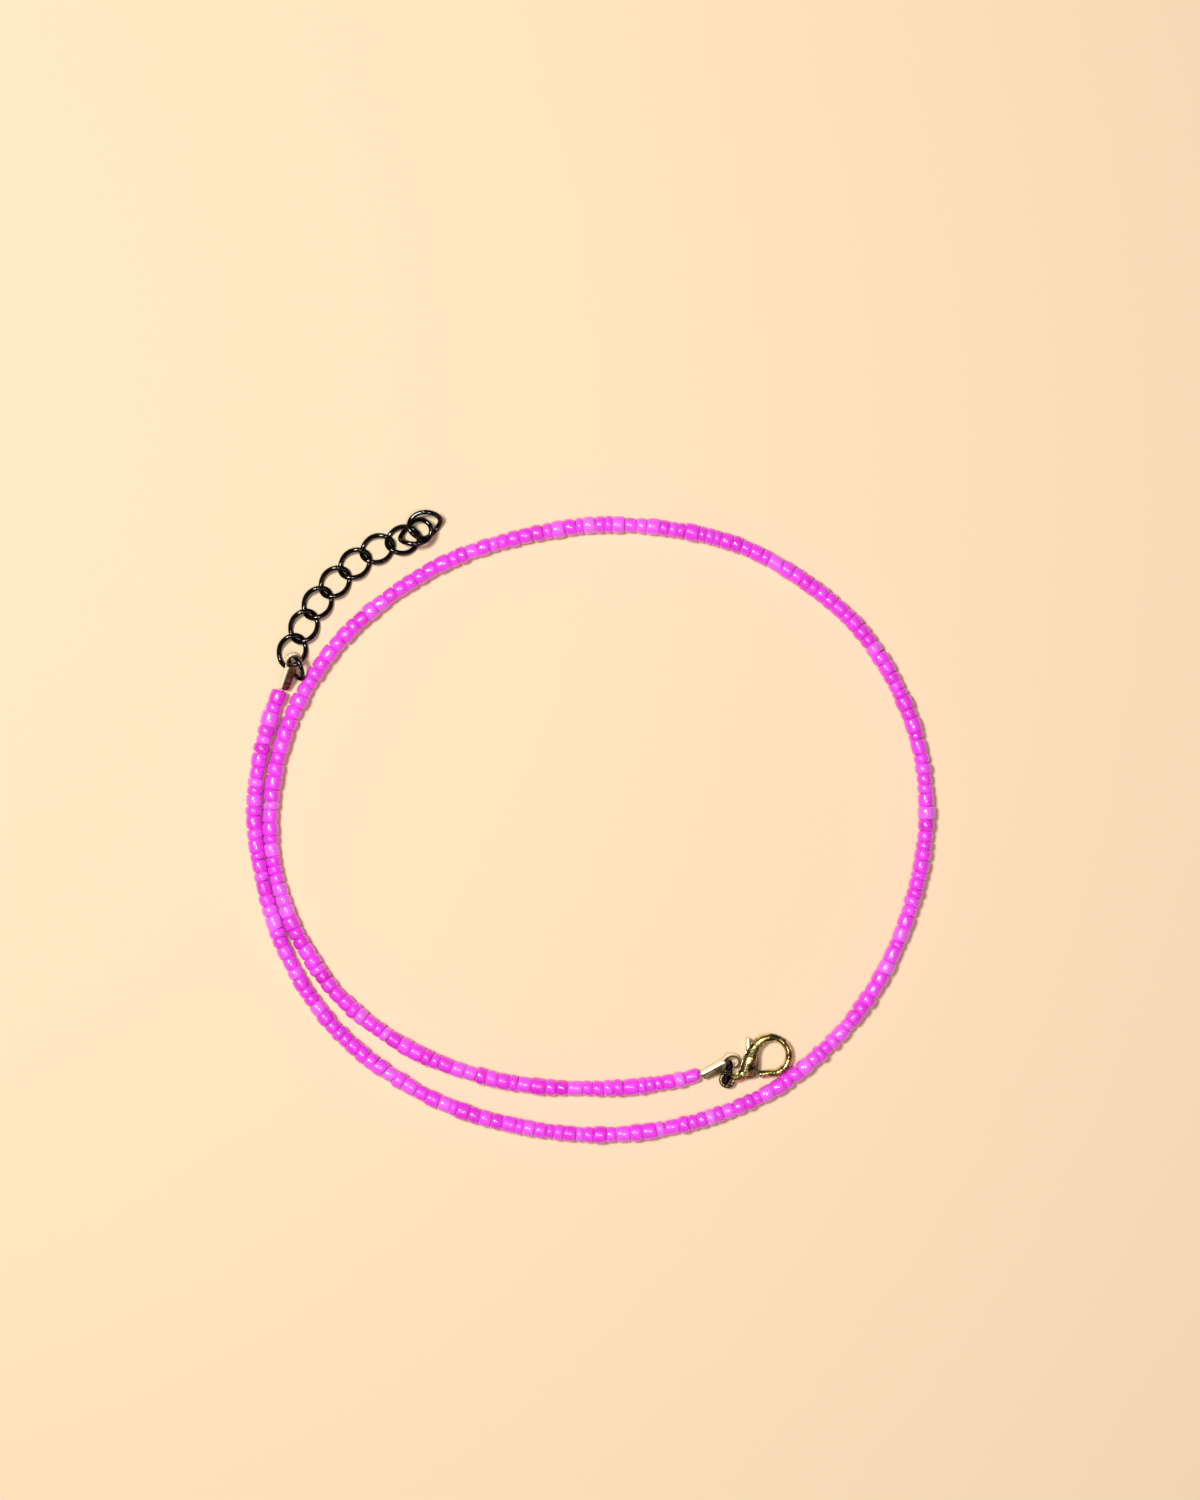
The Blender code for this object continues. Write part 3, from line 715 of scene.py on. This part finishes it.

for sheet in (sheet_brass, sheet_brass_painted_shade_pink):
    tree = sheet.node_tree
    shader = tree.nodes["Principled BSDF"]
    patina_and_painted_shade = shader.inputs["Base Color"].links[0].from_socket
    # Near the fold the sheet is painted pale ivory: a painted highlight where the fold faces the lamps.
    flap = add_node(tree, "ShaderNodeAttribute", attribute_name="from_fold")
    rubbed = ramp(tree, flap.outputs["Fac"], [(0.14, 1.0), (0.24, 0.0)])
    tree.links.new(mix_colours(tree, rubbed, patina_and_painted_shade, (0.98, 0.92, 0.66)), shader.inputs["Base Color"])
    tree.links.new(ramp(tree, rubbed, [(0.0, 1.0), (1.0, HIGHLIGHT_METALLIC)]), shader.inputs["Metallic"])

# The lever's dark colour is painted shade; its tab is left pale as a painted highlight.
tree = lever_in_painted_shade.node_tree
shader = tree.nodes["Principled BSDF"]
dark = shader.inputs["Base Color"].links[0].from_socket
tab = add_node(tree, "ShaderNodeAttribute", attribute_name="rubbed")
tree.links.new(mix_colours(tree, tab.outputs["Fac"], dark, (0.90, 0.80, 0.52)), shader.inputs["Base Color"])

# The cut edges of the sheet get a darker, rougher brass.
cut_edge_brass = brass_material(
    "cut_edge_brass", gold=(0.40, 0.31, 0.13), patina=(0.10, 0.08, 0.035),
    patina_from=0.14, patina_to=0.30, pit_depth=0.02, roughness=(0.4, 0.6))

# %% [markdown]
# ## Folded brass ends
# Each end of the string is closed by a crimp end: a flat blank cut from brass sheet, wider at one end,
# that is folded along its middle round the thread's knot. A narrow tongue of the same sheet is curled
# into a hook. It is made here as in the workshop. A flat grid is the blank, each of its points is
# moved to where the fold takes it, and a Solidify modifier gives the sheet its thickness.

# %% Fold a blank
CRIMP_LENGTH = 4.1
CRIMP_HEIGHT = 1.3
CRIMP_SHEET = 0.3
FLAP_WIDTH_AT_BEADS = 1.3
FLAP_WIDTH_AT_HOOK = 1.8
FLAP_PINCH = 0.1
BEND_RADIUS = 0.42
CORNER_AT_BEADS = 0.25
CORNER_AT_HOOK = 0.75


def half_blank(flap_width):
    """Half the fold's straight middle, the angle of its bends and half the flat blank's width."""
    angle = math.pi / 2 + math.asin(FLAP_PINCH / flap_width)
    straight = (CRIMP_HEIGHT - CRIMP_SHEET) / 2 - BEND_RADIUS
    run = (flap_width - CRIMP_SHEET / 2 - BEND_RADIUS * (1 - math.cos(angle))) / math.sin(angle)
    return straight, angle, straight + BEND_RADIUS * angle + run


def rounded_corner(share, width, radius):
    """How far the blank's end stands back at a share of its width, for a rounded corner."""
    past = max(0.0, (abs(share) * width - (width - radius)) / radius)
    return radius * (1 - math.sqrt(1 - past ** 2))


def folded_point(along_share, share):
    start = rounded_corner(share, half_blank(FLAP_WIDTH_AT_BEADS)[2], CORNER_AT_BEADS)
    end = CRIMP_LENGTH - rounded_corner(share, half_blank(FLAP_WIDTH_AT_HOOK)[2], CORNER_AT_HOOK)
    along = start + (end - start) * along_share
    flap_width = FLAP_WIDTH_AT_BEADS + (FLAP_WIDTH_AT_HOOK - FLAP_WIDTH_AT_BEADS) * along / CRIMP_LENGTH
    straight, angle, width = half_blank(flap_width)
    distance = abs(share) * width
    turn = min(max((distance - straight) / BEND_RADIUS, 0.0), angle)
    rest = max(distance - straight - BEND_RADIUS * angle, 0.0)
    aside = BEND_RADIUS * (1 - math.cos(turn)) + rest * math.sin(turn)
    up = min(distance, straight) + BEND_RADIUS * math.sin(turn) + rest * math.cos(turn)
    return Vector((along, -CRIMP_SHEET / 2 - aside, math.copysign(up, share)))


# %% [markdown]
# The tongue leaves the fold's middle with a narrow neck and curls almost all the way round, so that a
# ring can be hooked in and the gap then squeezed.

# %% Curl the tongue into a hook
HOOK_STRIP_WIDTH = 0.9
HOOK_NECK_WIDTH = 0.55
HOOK_NECK_LENGTH = 1.0
HOOK_RADIUS = 1.15
HOOK_STANDOFF = 0.9
HOOK_SHIFT = 0.1
STRIP_ROOT = 0.3
HOOK_START_ANGLE = 130.0
HOOK_END_ANGLE = -98.0
HOOK_STEPS = 40
BLUNT_TIP = 0.04  # keeps the tongue's end from closing to a point


def hook_path():
    """Middle line of the tongue: from inside the fold, round the hook's centre."""
    centre = Vector((CRIMP_LENGTH + HOOK_STANDOFF, HOOK_SHIFT - HOOK_RADIUS))
    points = [Vector((along, -CRIMP_SHEET / 2)) for along in (CRIMP_LENGTH - STRIP_ROOT, CRIMP_LENGTH)]
    for step in range(HOOK_STEPS + 1):
        angle = math.radians(HOOK_START_ANGLE + (HOOK_END_ANGLE - HOOK_START_ANGLE) * step / HOOK_STEPS)
        points.append(centre + Vector((math.cos(angle), math.sin(angle))) * HOOK_RADIUS)
    return points


def curled_point(path, along_share, share):
    length = path_length(path)
    distance = along_share * length
    place, _ = point_along(path, distance)
    widening = min(distance / HOOK_NECK_LENGTH, 1.0)
    half = (HOOK_NECK_WIDTH + (HOOK_STRIP_WIDTH - HOOK_NECK_WIDTH) * widening) / 2
    past = max(0.0, 1 - (length - distance) / half)
    return Vector((place.x, place.y, share * half * math.sqrt(max(1 - past ** 2, BLUNT_TIP))))


# %% [markdown]
# The crimps lie on the table in different ways. Both have rolled over a little, so that their fold
# faces up to the left and catches the window, and the chain's one also climbs over the first link.

# %% Make both crimps
CRIMPS = [
    {"node": "chain_crimp", "place": (-48.009, 21.443, 1.204), "heading": 71.0, "pitch": 28.73,
     "brass": sheet_brass_painted_shade_pink},
    {"node": "clasp_crimp", "place": (17.053, -37.981, 1.204), "heading": 29.0, "pitch": 4.54,
     "brass": sheet_brass},
]
CRIMP_ROLL = 28.0
FLAP_HIGHLIGHT_FADE = 1.0  # how fast the painted highlight gives way to the sheet's own colour, across the sheet
HOOK_HIGHLIGHT_FADE = 0.27
HIGHLIGHT_SIDE = 0.10  # the painted highlight lies towards the side that faces up
BLANK_GRID = (12, 40)  # steps along and across
TONGUE_GRID = (48, 6)
SHEET_SLACK = 0.02  # the sheet is this much thinner than in the construction, so folds stay apart
SHEET_ROUNDING = 0.05


def pose(place, heading, pitch, roll):
    """A frame at a place in millimetres, turned by angles in degrees."""
    return (Matrix.Translation(Vector(place) * MM) @ Matrix.Rotation(math.radians(heading), 4, "Z")
            @ Matrix.Rotation(math.radians(-pitch), 4, "Y") @ Matrix.Rotation(math.radians(roll), 4, "X"))


def bent_grid(builder, bend, steps, highlight_fade, highlight_side=0.0):
    """A flat grid whose points are moved by a bend: it takes shares along and across."""
    from_fold = builder.verts.layers.float.get("from_fold") or builder.verts.layers.float.new("from_fold")
    grid = bmesh.ops.create_grid(builder, x_segments=steps[0], y_segments=steps[1], size=1.0)
    for vert in grid["verts"]:
        # how far a point lies from the fold's upper side: small values get the painted highlight
        vert[from_fold] = abs(vert.co.y - highlight_side) * highlight_fade
        vert.co = bend((vert.co.x + 1) / 2, vert.co.y) * MM


def thicken(piece, thickness, edge):
    """Give a sheet its thickness and rounded edges, and bake both."""
    solid = piece.modifiers.new("thickness", "SOLIDIFY")
    solid.thickness = thickness * MM
    solid.offset = 0.0
    solid.use_even_offset = True
    solid.material_offset_rim = 1
    soft = piece.modifiers.new("soft_edges", "BEVEL")
    soft.width = edge * MM
    soft.segments = 2
    soft.angle_limit = math.radians(50)
    apply_modifiers(piece)
    piece.data.shade_smooth()


for row in CRIMPS:
    builder = bmesh.new()
    bent_grid(builder, folded_point, BLANK_GRID, FLAP_HIGHLIGHT_FADE, HIGHLIGHT_SIDE)
    path = hook_path()
    bent_grid(builder, lambda along, share: curled_point(path, along, share), TONGUE_GRID, HOOK_HIGHLIGHT_FADE)
    bmesh.ops.transform(builder, verts=builder.verts,
                        matrix=pose(row["place"], row["heading"], row["pitch"], CRIMP_ROLL))
    piece = finish_piece(row["node"].replace("crimp", "folded_end"), builder, row["brass"],
                         (row["node"],))
    piece.data.materials.append(cut_edge_brass)
    thicken(piece, CRIMP_SHEET - SHEET_SLACK, SHEET_ROUNDING)
    print(piece.name, "faces:", len(piece.data.polygons))

# %% [markdown]
# ## Lobster clasp
# The clasp's body is cast in one: a small eye, a fat back that holds the lever and its spring, and a
# claw that curls round. It is a skin drawn over rings that follow its middle line, fat at the back and
# thin round the claw. A curve with a bevel can't change its height apart from its width, rings can.

# %% Sections of the clasp's body
CLAW_RADIUS = 2.7
CLAW_WIDTH = 1.08
CLAW_HEIGHT = 1.6
CLASP_HEIGHT = 2.4
CLAW_CENTRE = Vector((28.160, -35.343))
# Place from the claw's centre in claw radii, width and height as shares of the clasp's height
CLASP_SECTIONS = [
    {"name": "neck", "x": -2.24, "y": -1.39, "wide": 0.38, "tall": 0.36},
    {"name": "shoulder", "x": -1.94, "y": -1.28, "wide": 0.54, "tall": 0.60},
    {"name": "pivot", "x": -1.53, "y": -0.97, "wide": 0.81, "tall": 0.92},
    {"name": "belly", "x": -1.37, "y": -0.57, "wide": 0.96, "tall": 1.00},
    {"name": "back", "x": -1.21, "y": -0.09, "wide": 0.93, "tall": 0.97},
    {"name": "root", "x": -0.98, "y": 0.45, "wide": 0.72, "tall": 0.84},
]
CLAW_FROM_ANGLE = 140.0
CLAW_TO_ANGLE = -98.0
CLAW_STEPS = 11
CLAW_ROOT_SWELL = 0.55
CLAW_ROOT_PUSH = 0.075
CLAW_ROOT_STEPS = 3
CLAW_ROOT_RISE = 0.25
CLAW_MIDDLE = 0.965
CLAW_STRETCH = 1.05
CLAW_DROP = 0.04
CLAW_TIP = (-0.79, -1.13)
TIP_TAPER = 0.95
SECTION_SIDES = 24
STEPS_BETWEEN = 4


def clasp_stations():
    """Middle, width and height of each section as (x, y, width, height), from the eye to the claw's tip."""
    stations = []
    for row in CLASP_SECTIONS:
        place = CLAW_CENTRE + Vector((row["x"], row["y"])) * CLAW_RADIUS
        stations.append(Vector((*place, row["wide"] * CLASP_HEIGHT, row["tall"] * CLASP_HEIGHT)))
    for step in range(CLAW_STEPS + 1):
        angle = math.radians(CLAW_FROM_ANGLE + (CLAW_TO_ANGLE - CLAW_FROM_ANGLE) * step / CLAW_STEPS)
        near_root = max(0.0, 1 - step / CLAW_ROOT_STEPS)
        radius = CLAW_RADIUS * CLAW_MIDDLE * (1 + CLAW_ROOT_PUSH * near_root)
        arc = Vector((math.cos(angle), math.sin(angle) * CLAW_STRETCH)) * radius
        place = CLAW_CENTRE + arc - Vector((0, CLAW_DROP * CLAW_RADIUS))
        swell = CLAW_ROOT_SWELL * near_root
        height = CLAW_HEIGHT * (1 + swell * CLAW_ROOT_RISE)
        stations.append(Vector((*place, CLAW_WIDTH * (1 + swell), height)))
    tip = CLAW_CENTRE + Vector(CLAW_TIP) * CLAW_RADIUS
    stations.append(Vector((*tip, CLAW_WIDTH * TIP_TAPER, CLAW_HEIGHT * TIP_TAPER)))
    return stations


# %% [markdown]
# The rings are ovals, so each is a circle that its own frame squeezes: one axis as long as half the
# width, the other as half the height. The last ring is filled, and then its edge is rounded off
# until it is almost a dome, because a lobster's claw ends blunt.

# %% Skin the clasp's body
NECK_ROUNDING = 0.1
TIP_ROUNDING = 0.36


def oval_frame(place, direction, width, height):
    left = Vector((-direction.y, direction.x, 0)) * width / 2
    axes = Matrix((left, Vector((0, 0, height / 2)), Vector((*direction, 0)))).transposed().to_4x4()
    return Matrix.Translation((*place, CLASP_HEIGHT / 2)) @ axes


def skin_body():
    stations = smooth_path(clasp_stations(), STEPS_BETWEEN)
    builder = bmesh.new()
    rings = []
    for index, station in enumerate(stations):
        before = stations[max(index - 1, 0)].xy
        after = stations[min(index + 1, len(stations) - 1)].xy
        place = oval_frame(station.xy, (after - before).normalized(), station.z, station.w)
        ring = bmesh.ops.create_circle(builder, segments=SECTION_SIDES, radius=1.0, matrix=place)["verts"]
        rings.append(list({edge for vert in ring for edge in vert.link_edges}))
    for near, far in zip(rings, rings[1:]):
        bmesh.ops.bridge_loops(builder, edges=near + far)
    for ring, rounding in ((rings[0], NECK_ROUNDING), (rings[-1], TIP_ROUNDING)):
        bmesh.ops.contextual_create(builder, geom=ring)
        bmesh.ops.bevel(builder, geom=ring, offset=rounding, segments=4, profile=0.5, affect="EDGES",
                        material=-1, clamp_overlap=True)
    bmesh.ops.scale(builder, vec=(MM, MM, MM), verts=builder.verts)
    return builder


# %% [markdown]
# The lever sits in a slot that is milled through the back, a round room for its boss that opens where
# the lever swings. The slot is cut with a Boolean, which is how a milling cutter works too. The eye is a
# ring that is spun and then joined on in the same way.

# %% Cut the slot and join the eye and the pin
LEVER_THICKNESS = 0.8
LEVER_CLEARANCE = 0.1
SLOT_END_CLEARANCE = 0.4
LEVER_SHARE = 2.15
GATE_SHARE = 0.80
MOUTH_SHARE = 0.39
BOSS_ROOM_SHARE = 0.44
MOUTH_FROM_ANGLE = -45
MOUTH_TO_ANGLE = 15
SLOT_TO_ANGLE = 125
LEVER_BOSS_RADIUS = 0.75
PIN_RADIUS = 0.3
PIN_SHARE = 0.8
PIN_SIDES = 32
PIVOT_PLACE = (-1.667, -1.085)
EYE_PLACE = (-2.574, -1.456)
EYE_RADIUS = 0.96
EYE_WIRE = 0.6
EYE_SIDES = 16
EYE_STEPS = 40
BODY_EDGE = 0.05
LEVER_REACH = LEVER_SHARE * CLAW_RADIUS
PIVOT = CLAW_CENTRE + Vector(PIVOT_PLACE) * CLAW_RADIUS
EYE = CLAW_CENTRE + Vector(EYE_PLACE) * CLAW_RADIUS


def plate(outline, thickness, centre):
    """A flat plate of a closed outline round a centre, at half the clasp's height."""
    builder = bmesh.new()
    low = CLASP_HEIGHT / 2 - thickness / 2
    corners = [builder.verts.new(Vector((*(centre + Vector(point)), low)) * MM) for point in outline]
    base = builder.faces.new(corners)
    raised = bmesh.ops.extrude_face_region(builder, geom=[base])["geom"]
    top = [item for item in raised if isinstance(item, bmesh.types.BMVert)]
    bmesh.ops.translate(builder, vec=(0, 0, thickness * MM), verts=top)
    return builder


def slot_outline():
    outline = []
    for angle in range(-50, 310, 5):
        reach = BOSS_ROOM_SHARE * CLASP_HEIGHT
        if MOUTH_FROM_ANGLE <= angle < MOUTH_TO_ANGLE:
            reach = MOUTH_SHARE * LEVER_REACH
        elif MOUTH_TO_ANGLE <= angle <= SLOT_TO_ANGLE:
            reach = GATE_SHARE * LEVER_REACH + SLOT_END_CLEARANCE
        outline.append((reach * math.cos(math.radians(angle)), reach * math.sin(math.radians(angle))))
    return outline


def pin_shape(radius, depth):
    builder = bmesh.new()
    centre = Vector((*PIVOT, CLASP_HEIGHT / 2)) * MM
    bmesh.ops.create_cone(builder, cap_ends=True, segments=PIN_SIDES, radius1=radius * MM,
                          radius2=radius * MM, depth=depth * MM, matrix=Matrix.Translation(centre))
    return builder


def eye_shape():
    builder = bmesh.new()
    centre = Vector((*EYE, CLASP_HEIGHT / 2)) * MM
    side = centre + Vector((EYE_RADIUS * MM, 0, 0))
    upright = Matrix.Translation(side) @ Matrix.Rotation(math.pi / 2, 4, "X")
    section = bmesh.ops.create_circle(builder, segments=EYE_SIDES, radius=EYE_WIRE / 2 * MM,
                                      matrix=upright)["verts"]
    edges = list({edge for vert in section for edge in vert.link_edges})
    bmesh.ops.spin(builder, geom=section + edges, axis=(0, 0, 1), cent=centre, angle=2 * math.pi,
                   steps=EYE_STEPS, use_merge=True)
    return builder


def combine(piece, operation, builder, material=None):
    """Cut a shape from a piece or join it on, with its own material where it has one."""
    bmesh.ops.recalc_face_normals(builder, faces=builder.faces)
    mesh = bpy.data.meshes.new("helper")
    builder.to_mesh(mesh)
    builder.free()
    helper = bpy.data.objects.new("helper", mesh)
    bpy.context.scene.collection.objects.link(helper)
    modifier = piece.modifiers.new("combine", "BOOLEAN")
    if material:
        mesh.materials.append(material)
        modifier.material_mode = "TRANSFER"
    modifier.operation = operation
    modifier.solver = "EXACT"
    modifier.object = helper
    apply_modifiers(piece)
    bpy.data.objects.remove(helper)


def soften_edges(piece, edge):
    soft = piece.modifiers.new("soft_edges", "BEVEL")
    soft.width = edge * MM
    soft.segments = 2
    soft.angle_limit = math.radians(45)
    apply_modifiers(piece)
    piece.data.shade_smooth()


body_piece = finish_piece("clasp_casting", skin_body(), cast_brass, ("clasp_body",))
combine(body_piece, "DIFFERENCE", plate(slot_outline(), LEVER_THICKNESS + 2 * LEVER_CLEARANCE, PIVOT))
combine(body_piece, "UNION", pin_shape(PIN_RADIUS, PIN_SHARE * CLASP_HEIGHT))
combine(body_piece, "UNION", eye_shape(), eye_brass)
soften_edges(body_piece, BODY_EDGE)
print(body_piece.name, "faces:", len(body_piece.data.polygons))

# %% [markdown]
# ## Lever
# The lever is stamped from thicker sheet: a boss round the pin, a broad gate that closes the claw, and
# a thin tab for the thumb nail. It is an extruded outline with its edges rounded. Its corners are
# rounded first, in the flat outline, because a stamping has no sharp ones.

# %% Make the lever
CORNER_SHARE = 0.25
LEVER_EDGE = 0.12
TAB_FROM = 0.58  # share of the lever's reach where the tab's painted highlight begins
TAB_BLEND = 0.12
LEVER_OUTLINE = [
    {"name": "gate foot", "x": 0.172, "y": -0.121},
    {"name": "gate corner", "x": 0.336, "y": -0.078},
    {"name": "gate end", "x": 0.376, "y": 0.026},
    {"name": "gate middle", "x": 0.405, "y": 0.181},
    {"name": "gate upper", "x": 0.414, "y": 0.405},
    {"name": "gate top", "x": 0.386, "y": 0.560},
    {"name": "tab root", "x": 0.214, "y": 0.650},
    {"name": "tab neck", "x": 0.178, "y": 0.760},
    {"name": "tab right", "x": 0.180, "y": 0.935},
    {"name": "tab tip", "x": 0.134, "y": 0.991},
    {"name": "tab left", "x": 0.080, "y": 0.930},
    {"name": "arm upper", "x": 0.082, "y": 0.578},
    {"name": "arm middle", "x": 0.115, "y": 0.371},
    {"name": "arm foot", "x": 0.050, "y": 0.198},
]


def cut_corners(outline, rounds=2):
    """A closed outline whose corners are cut off again and again, which rounds them."""
    points = [Vector(point) for point in outline]
    for _ in range(rounds):
        pairs = zip(points, points[1:] + points[:1])
        shares = (CORNER_SHARE, 1 - CORNER_SHARE)
        points = [a.lerp(b, share) for a, b in pairs for share in shares]
    return points


def lever_outline():
    outline = [(row["x"] * LEVER_REACH, row["y"] * LEVER_REACH) for row in LEVER_OUTLINE]
    for angle in range(140, 280, 10):
        turn = math.radians(angle)
        outline.append((LEVER_BOSS_RADIUS * math.cos(turn), LEVER_BOSS_RADIUS * math.sin(turn)))
    return cut_corners(outline)


lever_piece = finish_piece("clasp_lever_plate", plate(lever_outline(), LEVER_THICKNESS, PIVOT), lever_in_painted_shade,
                           ("clasp_lever",), body="lever")
combine(lever_piece, "DIFFERENCE", pin_shape(PIN_RADIUS + LEVER_CLEARANCE, 2 * LEVER_THICKNESS))
soften_edges(lever_piece, LEVER_EDGE)
# The tab is painted pale as a highlight, fading in from TAB_FROM.
rubbed = lever_piece.data.attributes.new("rubbed", "FLOAT", "POINT")
for vert in lever_piece.data.vertices:
    reach = (vert.co.y / MM - PIVOT.y) / LEVER_REACH
    rubbed.data[vert.index].value = min(max((reach - TAB_FROM) / TAB_BLEND, 0.0), 1.0)
print(lever_piece.name, "faces:", len(lever_piece.data.polygons))
